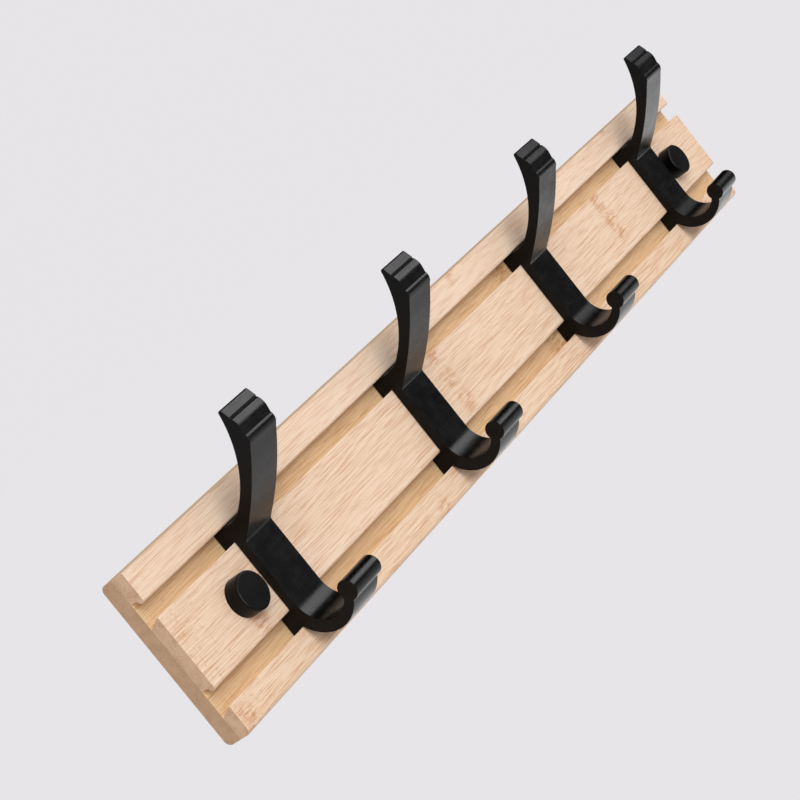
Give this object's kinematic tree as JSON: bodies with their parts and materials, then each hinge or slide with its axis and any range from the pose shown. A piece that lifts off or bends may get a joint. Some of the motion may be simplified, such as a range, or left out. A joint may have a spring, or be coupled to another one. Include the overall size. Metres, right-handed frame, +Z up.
{
  "type": "wall coat rack",
  "caption": "Wall coat rack: a long grooved bamboo board with sliding black double hooks, each an upper prong over a small curl, and round screw covers near the ends.",
  "frame": {"origin": "middle of the board's flat back face, on the wall plane", "axes": "+X along the board towards the right end seen from the front, +Y into the wall, +Z up"},
  "size_m": [0.6, 0.0571, 0.1072],
  "materials": {
    "bamboo_face": "satin",
    "bamboo_back": "satin",
    "black_metal": "satin",
    "cap_plastic": "matte",
    "seat_plastic": "matte"
  },
  "bodies": {
    "board": {"back_ply": "bamboo_back", "upper_rail": "bamboo_face", "centre_rail": "bamboo_face", "lower_rail": "bamboo_face", "cap_seat_left": "seat_plastic", "cap_seat_right": "seat_plastic"},
    "hook_1": {"hook_1": "black_metal"},
    "hook_2": {"hook_2": "black_metal"},
    "hook_3": {"hook_3": "black_metal"},
    "hook_4": {"hook_4": "black_metal"},
    "cap_left": {"cap_left": "cap_plastic"},
    "cap_right": {"cap_right": "cap_plastic"}
  },
  "joints": [
    {"name": "hook_1_slide", "type": "slide", "parent": "board", "child": "hook_1", "axis": [1, 0, 0], "range_m": [-0.0078, 0.0635]},
    {"name": "hook_2_slide", "type": "slide", "parent": "board", "child": "hook_2", "axis": [1, 0, 0], "range_m": [-0.0635, 0.0645]},
    {"name": "hook_3_slide", "type": "slide", "parent": "board", "child": "hook_3", "axis": [1, 0, 0], "range_m": [-0.0645, 0.0655]},
    {"name": "hook_4_slide", "type": "slide", "parent": "board", "child": "hook_4", "axis": [1, 0, 0], "range_m": [-0.0655, 0.0038]},
    {"name": "cap_left_pull", "type": "slide", "parent": "board", "child": "cap_left", "axis": [0, -1, 0], "range_m": [0, 0.012]},
    {"name": "cap_right_pull", "type": "slide", "parent": "board", "child": "cap_right", "axis": [0, -1, 0], "range_m": [0, 0.012]}
  ]
}
